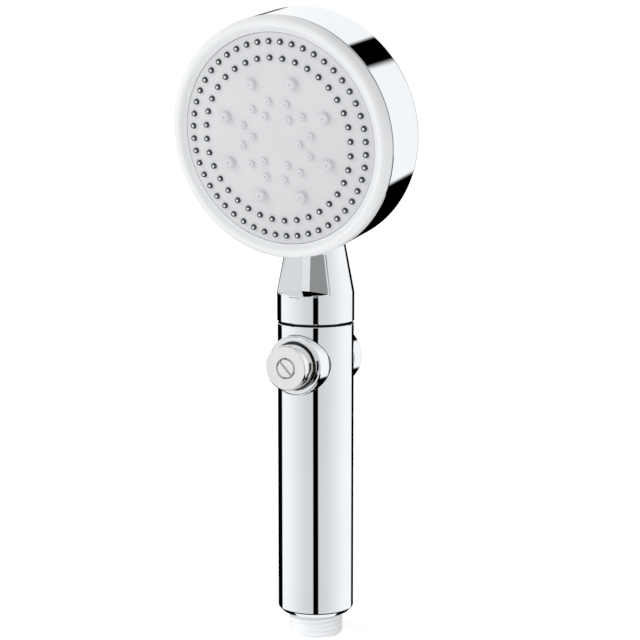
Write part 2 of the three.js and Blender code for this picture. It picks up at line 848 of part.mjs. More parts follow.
// Mode ports, each with a channel to the nozzle ring that it feeds, and the detent pin's track.
function distributionPlate() {
  let body = join(
    disc(faceRadius, plateBack, plateFront, sidesLarge),
    tube(faceRadius - 2.0, faceRadius, plateFront - 0.5, matBack - gap, sidesLarge),
  );
  const middle = (matRings[0].share + matRings[1].share) / 2;
  const feeds = [middle, domeRings[0].share, domeRings[1].share, middle, domeRings[2].share];
  for (let mode = 0; mode < modeCount; mode++) {
    const angle = 270 - mode * modeStep;
    const ends = [portRadius, feeds[mode] * faceRadius].sort((a, b) => a - b);
    const channel = blockGeometry([ends[0], -1.5, plateFront - 1.3], [ends[1] + 0.5, 1.5, plateFront + 0.5]);
    body = cut(
      body,
      discAt(portRadius, angle, 2.2, plateBack - 1, plateFront + 1, 12),
      toSolid(channel.rotateZ(angle * degree)),
    );
  }
  const halfTrack = 1.2 + gap;
  const spare = (halfTrack + 0.3) / detentRadius;
  const start = (90 - (modeCount - 1) * modeStep) * degree - spare;
  const end = 90 * degree + spare;
  const track = new THREE.Shape();
  track.absarc(0, 0, detentRadius + halfTrack, start, end, false);
  track.absarc(0, 0, detentRadius - halfTrack, end, start, true);
  const groove = new THREE.ExtrudeGeometry(track, { depth: 2.2, bevelEnabled: false, curveSegments: 12 });
  body = cut(body, toSolid(groove.translate(0, 0, plateBack - 1)));
  const notches = lugAngles.map((angle) => {
    const notch = blockGeometry(
      [ringBore - 1.4 - gap, -1.8 - gap, plateBack - 1],
      [ringBore + 1, 1.8 + gap, plateFront + gap],
    );
    return toSolid(notch.rotateZ((angle + 60) * degree));
  });
  return cut(body, disc(pivotScrewRadius + gap, plateBack - 1, plateFront + 1, 16), ...notches);
}

const guideEnd = chamberInside + 0.9;
const sealBack = portPlateFront - 4.2;
const detentBoreEnd = portPlateFront - 7.2;

function portPlate() {
  const grooveHeight = portPlateBack - 1.6;
  const spigot = chamberBore - gap;
  const grooveFloor = spigot - 2 * oringRadius - 0.1;
  const half = oringRadius + 0.2;
  let body = turned(
    [
      [0, portPlateFront],
      [chamberRadius, portPlateFront],
      [chamberRadius, portPlateBack],
      [spigot, portPlateBack],
      [spigot, grooveHeight + half],
      [grooveFloor, grooveHeight + half],
      [grooveFloor, grooveHeight - half],
      [spigot, grooveHeight - half],
      [spigot, grooveHeight - half - 0.6],
      [grooveFloor - 1.2, grooveHeight - half - 0.6],
      [grooveFloor - 1.2, portPlateBack],
      [0, portPlateBack],
    ],
    sidesMedium,
  );
  body = join(
    body,
    discAt(portRadius, 270, 4.8, guideEnd, portPlateBack + 0.5, 16),
    discAt(detentRadius, 90, 3.4, detentBoreEnd - 1, portPlateBack + 0.5, 16),
  );
  return cut(
    body,
    discAt(portRadius, 270, 3.6, guideEnd + 1, portPlateFront + 1, 16),
    discAt(portRadius, 270, 2.0, guideEnd - 1, guideEnd + 2, 12),
    discAt(detentRadius, 90, 2.5, detentBoreEnd, portPlateFront + 1, 16),
    disc(pivotScrewRadius + gap, portPlateBack - 1, portPlateFront + 1, 16),
  );
}

function waterChamber() {
  let body = cut(
    disc(chamberRadius, chamberBack, chamberFront, sidesMedium),
    disc(chamberBore, chamberInside, chamberFront + 1, sidesMedium),
  );
  const boss = turnedGeometry(discProfile(bossRadius, bossFoot, bossTop), sidesSmall);
  boss.applyMatrix4(headFrameBack);
  const socket = turnedGeometry(discProfile(riserRadius + gap, bossFoot - 1, riserTop + gap), sidesSmall);
  body = join(body, cut(toSolid(boss), disc(chamberBore, chamberInside, 0, sidesMedium)));
  body = join(body, disc(postRadius, chamberInside - 0.5, chamberFront, sidesSmall));
  for (const angle of lugAngles) {
    const bridge = blockGeometry([chamberRadius - 1, -lugRadius, lugBack], [lugCircle, lugRadius, lugFront]);
    body = join(
      body,
      discAt(lugCircle, angle, lugRadius, lugBack, lugFront, 12),
      toSolid(bridge.rotateZ(angle * degree)),
    );
    body = cut(body, discAt(lugCircle, angle, screwRadius + gap, lugBack - 1, lugFront + 1, 12));
  }
  return cut(
    body,
    toSolid(socket.applyMatrix4(headFrameBack)),
    risingDuct(),
    disc(pivotScrewRadius + gap, chamberInside + 0.6, chamberFront + 1, 16),
  );
}

// The slanted way from the riser's socket into the chamber.
function risingDuct() {
  const from = new THREE.Vector3(0, 0, riserTop - 1.5).applyMatrix4(headFrameBack);
  const to = new THREE.Vector3(0, -chamberBore + 7, (chamberInside + chamberFront) / 2);
  const along = to.clone().sub(from);
  const geometry = new THREE.CylinderGeometry(riserBore, riserBore, along.length(), 12);
  geometry.translate(0, along.length() / 2, 0);
  const turn = new THREE.Quaternion().setFromUnitVectors(new THREE.Vector3(0, 1, 0), along.normalize());
  geometry.applyQuaternion(turn);
  return toSolid(geometry.translate(from.x, from.y, from.z));
}

// Moves a solid of the head's axis to polar place (ringRadius, angle in degrees).
function movedTo(solid, ringRadius, angle) {
  return toSolid(toGeometry(solid).translate(ringRadius, 0, 0).rotateZ(angle * degree));
}

function detentPin() {
  const nose = plateBack + 0.9;
  return turned(
    [
      [0, nose],
      [0.7, nose],
      [1.2, nose - 0.4],
      [1.2, portPlateFront - gap],
      [2.2, portPlateFront - gap - 0.4],
      [2.2, portPlateFront - 4.2],
      [1.6, portPlateFront - 4.2],
      [1.6, portPlateFront - 2.0],
      [0, portPlateFront - 2.0],
    ],
    16,
  );
}

function addHeadPieces(group) {
  const pivotSeat = plateFront + gap;
  const washerTop = pivotSeat + 0.8;
  const chamberSealRadius = chamberBore - gap - oringRadius + 0.1;
  const screwSeat = lugFront + gap;
  addPiece(group, "dial_ring", dialRing(), "whitePlastic");
  addPiece(group, "spray_face", sprayFace(), "whitePlastic");
  addPiece(group, "nozzle_mat", nozzleMat(), "greyRubber");
  addPiece(group, "distribution_plate", distributionPlate(), "innerPlastic");
  const dialSeal = sleeveRadius - oringRadius - 0.1;
  const ringSeal = seal(dialSeal, (drumFront + sleeveEnd) / 2, oringRadius, sidesLarge);
  addPiece(group, "dial_oring", ringSeal, "blackRubber");
  addPiece(group, "port_plate", portPlate(), "innerPlastic");
  const portSeal = tube(1.8, 3.3, sealBack, portPlateFront, 16);
  addPiece(group, "port_seal", movedTo(portSeal, portRadius, 270), "blackRubber");
  const portSpring = spring(2.4, 0.35, guideEnd + 1 + gap, sealBack - gap, 3);
  addPiece(group, "port_seal_spring", movedTo(portSpring, portRadius, 270), "steel");
  addPiece(group, "detent_pin", movedTo(detentPin(), detentRadius, 90), "satinPlastic");
  const pinSpring = spring(1.0, 0.25, detentBoreEnd + gap, portPlateFront - 2.9, 4);
  addPiece(group, "detent_spring", movedTo(pinSpring, detentRadius, 90), "steel");
  addPiece(group, "water_chamber", waterChamber(), "innerPlastic");
  const chamberSeal = seal(chamberSealRadius, portPlateBack - 1.6, oringRadius, sidesMedium);
  addPiece(group, "chamber_oring", chamberSeal, "blackRubber");
  addPiece(group, "pivot_washer", tube(pivotScrewRadius + gap, 5.5, pivotSeat, washerTop, 16), "steel");
  const pivotScrew = screw(pivotScrewRadius, 3.4, 2.0, washerTop + gap, chamberInside + 1.0, 16);
  addPiece(group, "pivot_screw", pivotScrew, "steel");
  lugAngles.forEach((angle, i) => {
    const body = screw(screwRadius, screwHeadRadius, 2.0, screwSeat, drumInsideBack + 1.2, 12);
    addPiece(group, `chamber_screw_${i + 1}`, movedTo(body, lugCircle, angle), "steel");
  });
}

// ---- The assembly ----
const showerHead = new THREE.Group();

addHandlePieces(showerHead);
addPiece(showerHead, "head_shell", headShell(), "chrome");

const stopValve = new THREE.Group();
stopValve.position.set(0, 0, valveHeight);
stopValve.rotation.x = -Math.PI / 2;
addStopValvePieces(stopValve);
showerHead.add(stopValve);

const head = new THREE.Group();
head.position.copy(headPlace);
head.rotation.x = headTurn;
addHeadPieces(head);
showerHead.add(head);

export default showerHead;
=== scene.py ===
import json
import math
import bpy
from mathutils import Matrix, Vector


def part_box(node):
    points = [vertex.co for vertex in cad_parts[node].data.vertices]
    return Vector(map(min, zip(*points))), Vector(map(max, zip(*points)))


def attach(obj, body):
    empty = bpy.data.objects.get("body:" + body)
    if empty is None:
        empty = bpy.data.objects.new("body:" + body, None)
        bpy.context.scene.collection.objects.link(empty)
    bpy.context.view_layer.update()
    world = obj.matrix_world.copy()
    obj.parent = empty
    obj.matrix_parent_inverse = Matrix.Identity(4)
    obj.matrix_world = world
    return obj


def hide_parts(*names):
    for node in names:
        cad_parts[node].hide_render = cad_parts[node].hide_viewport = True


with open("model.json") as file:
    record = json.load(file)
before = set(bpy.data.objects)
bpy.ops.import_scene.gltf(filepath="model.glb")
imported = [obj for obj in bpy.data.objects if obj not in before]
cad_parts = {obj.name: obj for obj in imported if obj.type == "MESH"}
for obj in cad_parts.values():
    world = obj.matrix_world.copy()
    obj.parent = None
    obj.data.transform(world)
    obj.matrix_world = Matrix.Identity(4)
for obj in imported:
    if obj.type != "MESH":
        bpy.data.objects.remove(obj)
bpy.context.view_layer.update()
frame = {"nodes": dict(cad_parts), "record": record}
record = frame["record"]
mm = 0.001
degree = math.pi / 180

# Where the frame puts things, in millimetres.

joints = {joint["name"]: joint for joint in record["behaviour"]["joints"]}
faceCentre = Vector(joints["mode_dial"]["pos_m"])
faceNormal = Vector(joints["mode_dial"]["axis"]).normalized()
headTurn = math.pi / 2 + math.asin(-faceNormal.z)
headFrame = Matrix.Translation(faceCentre) @ Matrix.Rotation(headTurn, 4, "X")


def span(node, axis):
    low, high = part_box(node)
    return low[axis] / mm, high[axis] / mm


valveHeight = sum(span("front_collar", 2)) / 2
valveFrame = Matrix.Translation((0, 0, valveHeight * mm)) @ Matrix.Rotation(math.pi / 2, 4, "X")
rearFrame = Matrix.Translation((0, 0, valveHeight * mm)) @ Matrix.Rotation(-math.pi / 2, 4, "X")
handleFoot, handleTop = span("handle_shell", 2)
handleRadius = span("handle_shell", 0)[1]
headRadius = span("dial_ring", 0)[1]
seam = span("head_shell", 2)[0]
buttonFront = -span("front_button", 1)[0]
print("frame read, head radius", round(headRadius, 2), "handle radius", round(handleRadius, 2))

cameraLook = {"azimuth": 28.86, "elevation": 8.15, "place": (0.3262, -0.5885, 0.2208), "lens": 99.3}


def addCamera():
    bpy.ops.object.camera_add(location=cameraLook["place"])
    camera = bpy.context.object
    camera.rotation_euler = ((90 - cameraLook["elevation"]) * degree, 0, cameraLook["azimuth"] * degree)
    camera.data.lens = cameraLook["lens"]
    camera.data.sensor_width = 36
    camera.data.clip_start = 0.01
    bpy.context.scene.camera = camera


class Wire:  # a shader socket that adds and multiplies in plain Python
    def __init__(self, tree, socket):
        self.tree = tree
        self.socket = socket

    def node(self, kind, settings=None, inputs=None, output=0):
        made = self.tree.nodes.new(kind)
        for key, value in (settings or {}).items():
            setattr(made, key, value)
        for key, value in (inputs or {}).items():
            if isinstance(value, Wire):
                self.tree.links.new(value.socket, made.inputs[key])
            else:
                made.inputs[key].default_value = value
        return Wire(self.tree, made.outputs[output] if made.outputs else None)

    def math(self, operation, *values):
        return self.node("ShaderNodeMath", {"operation": operation}, dict(enumerate((self, *values))))

    def __add__(self, other):
        return self.math("ADD", other)

    def __sub__(self, other):
        return self.math("SUBTRACT", other)

    def __mul__(self, other):
        return self.math("MULTIPLY", other)

    def __rsub__(self, other):
        return self * -1 + other

    __radd__ = __add__
    __rmul__ = __mul__

    def step(self, low, high):  # 0 below low, 1 above high
        settings = {"interpolation_type": "SMOOTHSTEP"}
        return self.node("ShaderNodeMapRange", settings, {"Value": self, "From Min": low, "From Max": high})

    def band(self, low, high, soft):  # 1 between low and high
        return self.step(low - soft, low + soft) * (1 - self.step(high - soft, high + soft))

    def mixed(self, first, second):  # self is the factor
        return self.node("ShaderNodeMix", {"data_type": "RGBA"}, {0: self, 6: first, 7: second}, 2)

    def along(self, direction):
        return self.node("ShaderNodeVectorMath", {"operation": "DOT_PRODUCT"}, {0: self, 1: direction}, 1)


# A plain studio: a white wall all round, dimmer beside the camera, with flat cards in front of it.
# Angles in degrees, around from the camera's side and up from level. Brightness 0 is a black card.
wall = {"near": 0.7, "far": 1.0, "reach": (10, 110)}
cards = [
    {"around": (-8, 8), "up": (-30, 5), "bright": 0},
    {"around": (-190, -125), "up": (-30, 0), "bright": 0},
    {"around": (140, 190), "up": (-30, 10), "bright": 0},
    {"around": (-190, -165), "up": (0, 10), "bright": 0},
    {"around": (130, 145), "up": (15, 60), "bright": 0},
    {"around": (-95, -65), "up": (-5, 5), "bright": 0.3},
    {"around": (-95, -55), "up": (22, 44), "bright": 0},
    {"around": (-190, 190), "up": (-52, -26), "bright": 0},
]
fill = {"behind": 0.5, "front": 1.0}  # soft light on what isn't chrome


def addStudio():
    world = bpy.data.worlds.new("studio")
    bpy.context.scene.world = world
    world.use_nodes = True
    tree = world.node_tree
    tree.nodes.clear()
    start = Wire(tree, None)
    ray = start.node("ShaderNodeTexCoord")
    turn = cameraLook["azimuth"] * degree
    forwards = ray.along((math.sin(turn), -math.cos(turn), 0))
    sideways = ray.along((math.cos(turn), math.sin(turn), 0))
    around = sideways.math("ARCTAN2", forwards) * (1 / degree)
    up = ray.along((0, 0, 1)).math("ARCSINE") * (1 / degree)
    level = around.math("ABSOLUTE").step(*wall["reach"]) * (wall["far"] - wall["near"]) + wall["near"]
    for card in cards:
        part = around.band(*card["around"], 1.5) * up.band(*card["up"], 1.5)
        level = level + part * (card["bright"] - level)
    path = start.node("ShaderNodeLightPath")
    isCamera = Wire(tree, path.socket.node.outputs["Is Camera Ray"])
    isGlossy = Wire(tree, path.socket.node.outputs["Is Glossy Ray"])
    aim = forwards * 0.6 - sideways * 0.7 - ray.along((0, 0, 0.35))
    soft = aim.step(-0.9, 0.9) * (fill["front"] - fill["behind"]) + fill["behind"]
    level = soft + isGlossy * (level - soft)
    tone = isCamera.mixed(level, (1, 1, 1, 1))
    shade = start.node("ShaderNodeBackground", {}, {"Color": tone, "Strength": 1.0})
    start.node("ShaderNodeOutputWorld", {}, {"Surface": shade})


def addFloor():
    bpy.ops.mesh.primitive_circle_add(vertices=128, radius=6, fill_type="NGON", location=(0, 0, -0.0005))
    floor = bpy.context.object
    floor.name = "floor"
    material = bpy.data.materials.new("floorPaper")
    material.use_nodes = True
    shader = material.node_tree.nodes["Principled BSDF"]
    shader.inputs["Base Color"].default_value = (0.9, 0.9, 0.9, 1)
    shader.inputs["Roughness"].default_value = 1
    shader.inputs["Emission Color"].default_value = (1, 1, 1, 1)
    shader.inputs["Emission Strength"].default_value = 0.45
    floor.data.materials.append(material)
    floor.visible_glossy = False


def addLamp():
    lamp = {"place": (-0.55, -0.5, 0.6), "aim": (0, -0.03, 0.17), "size": 0.3, "power": 1.4}
    bpy.ops.object.light_add(type="AREA", location=lamp["place"])
    made = bpy.context.object
    made.data.size = lamp["size"]
    made.data.energy = lamp["power"]
    made.rotation_euler = (Vector(lamp["aim"]) - Vector(lamp["place"])).to_track_quat("-Z", "Y").to_euler()
    made.visible_glossy = False


bpy.context.scene.view_settings.view_transform = "Standard"
addCamera()
addStudio()
addFloor()
addLamp()
print("studio ready")

finishes = {
    "chromePlate": {"colour": (0.905, 0.93, 0.955), "shade": (0.88, 0.91, 0.935), "metal": 1,
                    "rough": (0.008, 0.02), "grain": 25, "fine": 900, "relief": 0.003},
    "whiteAbs": {"colour": (0.79, 0.805, 0.82), "shade": (0.765, 0.78, 0.795), "metal": 0,
                 "rough": (0.30, 0.38), "grain": 40, "fine": 1800, "relief": 0.02, "coat": 0.12},
    "faceAbs": {"colour": (0.645, 0.655, 0.67), "shade": (0.62, 0.63, 0.645), "metal": 0,
                "rough": (0.34, 0.42), "grain": 40, "fine": 1800, "relief": 0.02, "coat": 0.06},
    "satinChrome": {"colour": (0.93, 0.93, 0.93), "shade": (0.89, 0.89, 0.90), "metal": 1,
                    "rough": (0.07, 0.12), "grain": 120, "fine": 3000, "relief": 0.01},
    "threadAbs": {"colour": (0.97, 0.98, 0.99), "shade": (0.94, 0.955, 0.97), "metal": 0,
                  "rough": (0.30, 0.40), "grain": 90, "fine": 1500, "relief": 0.03},
    "nozzleSilicone": {"colour": (0.045, 0.052, 0.058), "shade": (0.03, 0.035, 0.04), "metal": 0,
                       "rough": (0.42, 0.55), "grain": 300, "fine": 2500, "relief": 0.05},
    "innerPom": {"colour": (0.72, 0.73, 0.72), "shade": (0.65, 0.66, 0.65), "metal": 0,
                 "rough": (0.45, 0.6), "grain": 60, "fine": 1200, "relief": 0.05},
    "sealRubber": {"colour": (0.02, 0.02, 0.02), "shade": (0.035, 0.035, 0.034), "metal": 0,
                   "rough": (0.5, 0.7), "grain": 200, "fine": 2500, "relief": 0.08},
    "brightSteel": {"colour": (0.62, 0.63, 0.64), "shade": (0.5, 0.51, 0.52), "metal": 1,
                    "rough": (0.2, 0.34), "grain": 150, "fine": 4000, "relief": 0.05},
    "turnedBrass": {"colour": (0.75, 0.58, 0.28), "shade": (0.6, 0.45, 0.2), "metal": 1,
                    "rough": (0.2, 0.35), "grain": 150, "fine": 4000, "relief": 0.05},
}


def makeFinish(name, look):
    material = bpy.data.materials.new(name)
    material.use_nodes = True
    tree = material.node_tree
    shader = tree.nodes["Principled BSDF"]
    start = Wire(tree, None)
    place = Wire(tree, start.node("ShaderNodeTexCoord").socket.node.outputs["Object"])
    broad = start.node("ShaderNodeTexNoise", {}, {"Vector": place, "Scale": look["grain"], "Detail": 4.0})
    fine = start.node("ShaderNodeTexNoise", {}, {"Vector": place, "Scale": look["fine"], "Detail": 3.0})
    cloud = broad.step(0.3, 0.7)
    colour = cloud.mixed((*look["colour"], 1), (*look["shade"], 1))
    low, high = look["rough"]
    rough = (cloud * 0.6 + fine * 0.4) * (high - low) + low
    relief = start.node("ShaderNodeBump", {}, {"Height": fine, "Strength": look["relief"], "Distance": 0.0002})
    tree.links.new(colour.socket, shader.inputs["Base Color"])
    tree.links.new(rough.socket, shader.inputs["Roughness"])
    tree.links.new(relief.socket, shader.inputs["Normal"])
    shader.inputs["Metallic"].default_value = look["metal"]
    shader.inputs["Coat Weight"].default_value = look.get("coat", 0)
    shader.inputs["Coat Roughness"].default_value = 0.08
    return material


def paintShadeBand(material, colour, axis, start, low, high):  # painted shade: a darker colour between two distances along an axis, standing in for shade in gaps and on relief
    tree = material.node_tree
    shader = tree.nodes["Principled BSDF"]
    place = Wire(tree, Wire(tree, None).node("ShaderNodeTexCoord").socket.node.outputs["Object"])
    part = ((place.along(axis) - start.dot(axis)) * (1 / mm)).band(low, high, 0.02)
    base = Wire(tree, shader.inputs["Base Color"].links[0].from_socket)
    tree.links.new(part.mixed(base, (*colour, 1)).socket, shader.inputs["Base Color"])


def paintTipHighlights(material, colour):  # painted highlight: a paler spot in the middle of each nozzle tip, standing in for the highlight in the tip's dimple
    tree = material.node_tree
    shader = tree.nodes["Principled BSDF"]
    start = Wire(tree, None)
    place = Wire(tree, start.node("ShaderNodeTexCoord").socket.node.outputs["Object"])
    sideAxis, upAxis = headFrame.col[0].xyz, headFrame.col[1].xyz
    across = (place.along(sideAxis) - faceCentre.dot(sideAxis)) * (1 / mm)
    above = (place.along(upAxis) - faceCentre.dot(upAxis)) * (1 / mm)
    away = (across * across + above * above).math("SQRT")
    turn = above.math("ARCTAN2", across) * (1 / (2 * math.pi))
    paintedHighlight = None
    for ring in tipRings:
        drift = (turn * ring["count"] + 0.5).math("FRACT") - 0.5
        drift = drift * (2 * math.pi * ring["radius"] / ring["count"])
        outward = away - ring["radius"]
        near = (drift * drift + outward * outward).math("SQRT").step(0.6, 0.36)
        paintedHighlight = near if paintedHighlight is None else paintedHighlight.math("MAXIMUM", near)
    base = Wire(tree, shader.inputs["Base Color"].links[0].from_socket)
    tree.links.new(paintedHighlight.mixed(base, (*colour, 1)).socket, shader.inputs["Base Color"])


materials = {name: makeFinish(name, look) for name, look in finishes.items()}
# painted shade: near-black colour in bands at the handle-to-head seam and on the sleeve behind the dial ring's rim,
# where the gaps between parts fall in shadow
paintedGapShade = (0.004, 0.004, 0.004)
upwards, forwards, foot = Vector((0, 0, 1)), Vector((0, -1, 0)), Vector((0, 0, 0))
paintShadeBand(materials["chromePlate"], paintedGapShade, upwards, foot, handleTop - 0.45, seam + 0.35)
paintShadeBand(materials["innerPom"], paintedGapShade, upwards, foot, handleTop - 0.6, seam + 0.6)
paintShadeBand(materials["whiteAbs"], paintedGapShade, faceNormal, faceCentre, -12.5, -3.42)
# painted shade: darker grey on the raised stop symbol of the front button, standing in for the shading of its relief
paintShadeBand(materials["satinChrome"], (0.5, 0.51, 0.52), forwards, foot, buttonFront + 0.03, buttonFront + 1)
cadFinish = {"chrome": "chromePlate", "white_plastic": "whiteAbs", "button_chrome": "satinChrome",
             "inner_plastic": "innerPom", "detent_plastic": "innerPom", "grey_rubber": "nozzleSilicone",
             "seal_rubber": "sealRubber", "steel": "brightSteel", "brass": "turnedBrass"}
slotOf = {row["node"]: row["material_slot"] for row in record["subparts"]}
for node, nodeObject in frame["nodes"].items():
    for slot in nodeObject.material_slots:
        slot.material = materials[cadFinish[slotOf[node]]]
print("finishes ready:", len(materials))


def alone(piece):
    bpy.ops.object.select_all(action="DESELECT")
    piece.select_set(True)
    bpy.context.view_layer.objects.active = piece


def bow(centre, radius, first, last, count):  # points on an arc, angles in degrees
    angles = [(first + (last - first) * i / (count - 1)) * degree for i in range(count)]
    return [(centre[0] + radius * math.cos(a), centre[1] + radius * math.sin(a)) for a in angles]


def supported(outline):  # long straight runs get a point close to each end, so they shade flat
    points = [outline[0]]
    for before, after in zip(outline, outline[1:]):
        length = math.dist(before, after)
        if length > 1.2 and after[0] > 0:
            for share in (0.1 / length, 1 - 0.1 / length):
                points.append(tuple(a + (b - a) * share for a, b in zip(before, after)))
        points.append(after)
    return points


# A ring is extruded and scaled from one outline point of (radius, height) to the next.
def turned(name, outline, sides, hollow=False):
    outline = supported(outline)
    bpy.ops.object.select_all(action="DESELECT")
    radius, height = outline[0]
    bpy.ops.mesh.primitive_circle_add(vertices=sides, radius=radius * mm, location=(0, 0, height * mm))
    piece = bpy.context.object
    piece.name = name
    bpy.ops.object.transform_apply()
    bpy.ops.object.mode_set(mode="EDIT")
    bpy.ops.mesh.select_all(action="SELECT")
    for nextRadius, nextHeight in outline[1:]:
        bpy.ops.mesh.extrude_region_move(TRANSFORM_OT_translate={"value": (0, 0, (nextHeight - height) * mm)})
        if nextRadius > 0:
            grow = nextRadius / radius
            bpy.ops.transform.resize(value=(grow, grow, 1), center_override=(0, 0, nextHeight * mm))
        else:
            bpy.ops.mesh.merge(type="CENTER")
        radius, height = nextRadius, nextHeight
    bpy.ops.mesh.select_mode(type="EDGE")
    bpy.ops.mesh.select_all(action="DESELECT")
    bpy.ops.mesh.select_non_manifold()
    if hollow:
        bpy.ops.mesh.bridge_edge_loops()
    else:
        bpy.ops.mesh.fill_holes(sides=0)
    bpy.ops.mesh.select_mode(type="VERT")
    bpy.ops.mesh.select_all(action="SELECT")
    bpy.ops.mesh.normals_make_consistent(inside=False)
    bpy.ops.object.mode_set(mode="OBJECT")
    return piece


def block(name, low, high):
    bpy.ops.object.select_all(action="DESELECT")
    centre = [(a + b) / 2 * mm for a, b in zip(low, high)]
    bpy.ops.mesh.primitive_cube_add(size=1, location=centre)
    piece = bpy.context.object
    piece.name = name
    piece.scale = [(b - a) * mm for a, b in zip(low, high)]
    bpy.ops.object.transform_apply()
    return piece


def placed(piece, matrix):
    alone(piece)
    piece.matrix_world = matrix
    bpy.ops.object.transform_apply()
    return piece


def copied(piece, matrix):
    twin = piece.copy()
    twin.data = piece.data.copy()
    bpy.context.collection.objects.link(twin)
    return placed(twin, matrix)


def joined(pieces):
    bpy.ops.object.select_all(action="DESELECT")
    for piece in pieces:
        piece.select_set(True)
    bpy.context.view_layer.objects.active = pieces[0]
    bpy.ops.object.join()
    return bpy.context.object


def carved(piece, tool, operation="DIFFERENCE"):
    alone(piece)
    change = piece.modifiers.new("carve", "BOOLEAN")
    change.operation = operation
    change.object = tool
    change.solver = "EXACT"
    bpy.ops.object.modifier_apply(modifier=change.name)
    bpy.data.objects.remove(tool, do_unlink=True)
    return piece


def bevelled(piece, width, segments, angle):
    alone(piece)
    change = piece.modifiers.new("edge", "BEVEL")
    change.width = width * mm
    change.segments = segments
    change.limit_method = "ANGLE"
    change.angle_limit = angle * degree
    bpy.ops.object.modifier_apply(modifier=change.name)
    return piece


def ringPlace(radius, angle):  # polar place in the head's own frame
    return Matrix.Rotation(angle * degree, 4, "Z") @ Matrix.Translation((radius * mm, 0, 0))


def finished(piece, body, node, finish, angle=35):
    alone(piece)
    bpy.ops.object.shade_smooth_by_angle(angle=angle * degree)
    piece.data.materials.clear()
    piece.data.materials.append(materials[finish])
    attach(piece, body)
    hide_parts(node)
    print("made", piece.name, len(piece.data.polygons), "faces")


# Heights in the head's own frame run out along the spray, from the face's centre.
face = {"radius": headRadius - 5.8, "dome": 1.3, "domeReach": 36.2, "back": -2.3, "ribs": (26.8, 18.6), "ribWall": 1.2,
        "ribEnd": -7.7, "holeRadius": 1.14}
tipRings = [{"count": 48, "radius": 36.2}, {"count": 36, "radius": 30.3}]
domeRings = [{"count": 8, "radius": 22.5, "phase": 22.5, "base": 2.1, "rise": 2.0},
             {"count": 12, "radius": 14.65, "phase": 7.5, "base": 1.4, "rise": 1.15},
             {"count": 6, "radius": 9.8, "phase": -7.5, "base": 1.4, "rise": 1.15}]


def faceHeight(radius):
    return face["dome"] * (1 - (radius / face["domeReach"]) ** 2)


def makeSprayFace():
    edge = face["radius"]
    front = [(edge - 0.08, faceHeight(edge) - 0.03), (edge - 0.3, faceHeight(edge))]
    front += [(r, faceHeight(r)) for r in range(38, 0, -2)] + [(0, faceHeight(0))]
    piece = turned("sprayFace", [(edge - 0.2, face["back"]), (edge, face["back"] + 0.2),
                                  (edge, faceHeight(edge) - 0.2)] + front, 180)
    holes = []
    tool = turned("hole", [(face["holeRadius"], -4), (face["holeRadius"], 3)], 20)
    for ring in tipRings:
        for i in range(ring["count"]):
            holes.append(copied(tool, ringPlace(ring["radius"], i * 360 / ring["count"])))
    bpy.data.objects.remove(tool, do_unlink=True)
    piece = carved(piece, joined(holes))
    domes = []
    for ring in domeRings:
        base, rise, foot = ring["base"], ring["rise"], faceHeight(ring["radius"])
        outline = [(base + 0.25, foot - 0.5), (base + 0.25, foot - 0.06), (base + 0.08, foot + 0.05), (base, foot + 0.2)]
        outline += [(base * x, foot + rise * z) for x, z in ((0.99, 0.45), (0.95, 0.66), (0.86, 0.83), (0.7, 0.95), (0.5, 1))]
        outline += [(base * 0.3, foot + rise), (base * 0.25, foot + rise - 0.1),
                    (base * 0.22, foot + rise - 0.3), (0, foot + rise - 0.34)]
        model = turned("dome", outline, 28)
        for i in range(ring["count"]):
            domes.append(copied(model, ringPlace(ring["radius"], ring["phase"] + i * 360 / ring["count"])))
        bpy.data.objects.remove(model, do_unlink=True)
    piece = carved(piece, joined(domes), "UNION")
    for middle in face["ribs"]:
        inner, outer = middle - face["ribWall"] / 2, middle + face["ribWall"] / 2
        top = face["back"] + 0.4
        rib = turned("rib", [(inner, top), (inner, face["ribEnd"]), (outer, face["ribEnd"]), (outer, top)], 120, True)
        piece = carved(piece, rib, "UNION")
    piece.name = "sprayFace"
    finished(placed(piece, headFrame), "dial", "spray_face", "faceAbs", 40)


def makeNozzleMat():
    front, back = face["back"] - 0.3, face["back"] - 1.7
    parts = [turned("mat", [(27.7, back), (38.6, back), (38.6, front), (27.7, front)], 120, True)]
    for ring in tipRings:
        foot = faceHeight(ring["radius"])
        outline = [(1.02, back + 0.4), (1.02, foot + 0.35), (0.98, foot + 0.7), (0.86, foot + 0.92), (0.7, foot + 0.97),
                   (0.5, foot + 0.9), (0.42, foot + 0.8), (0, foot + 0.78)]
        model = turned("tip", outline, 20)
        for i in range(ring["count"]):
            parts.append(copied(model, ringPlace(ring["radius"], i * 360 / ring["count"])))
        bpy.data.objects.remove(model, do_unlink=True)
    piece = joined(parts)
    piece.name = "nozzleMat"
    # painted highlight: paler centres on the nozzle tips
    paintTipHighlights(materials["nozzleSilicone"], (0.75, 0.77, 0.78))
    finished(placed(piece, headFrame), "dial", "nozzle_mat", "nozzleSilicone", 40)


def makeDialRing():
    sleeve, bore, end, groove = headRadius - 2.3, headRadius - 5.68, -11.6, -7.65
    outline = [(bore, -0.6), (bore, -0.2), (bore + 0.5, 0.02), (bore + 1.0, 0.35), (bore + 1.5, 0.95),
               (bore + 2.0, 1.38)]
    outline += [(bore + 2.6, 1.6), (bore + 3.3, 1.66), (bore + 4.0, 1.5), (bore + 4.6, 1.05), (bore + 5.05, 0.4)]
    outline += [(headRadius - 0.35, -0.5), (headRadius - 0.18, -1.5), (headRadius - 0.06, -2.4), (headRadius, -3.2),
                (headRadius - 0.1, -3.4), (sleeve, -3.4)]
    outline += [(sleeve, groove + 1.05), (sleeve - 1.7, groove + 1.05), (sleeve - 1.7, groove - 1.05),
                (sleeve, groove - 1.05)]
    outline += [(sleeve, end), (bore - 0.8, end), (bore - 0.8, end + 0.8), (bore, end + 0.8)]
    piece = turned("dialRing", outline, 240, True)
    finished(placed(piece, headFrame), "dial", "dial_ring", "whiteAbs", 40)


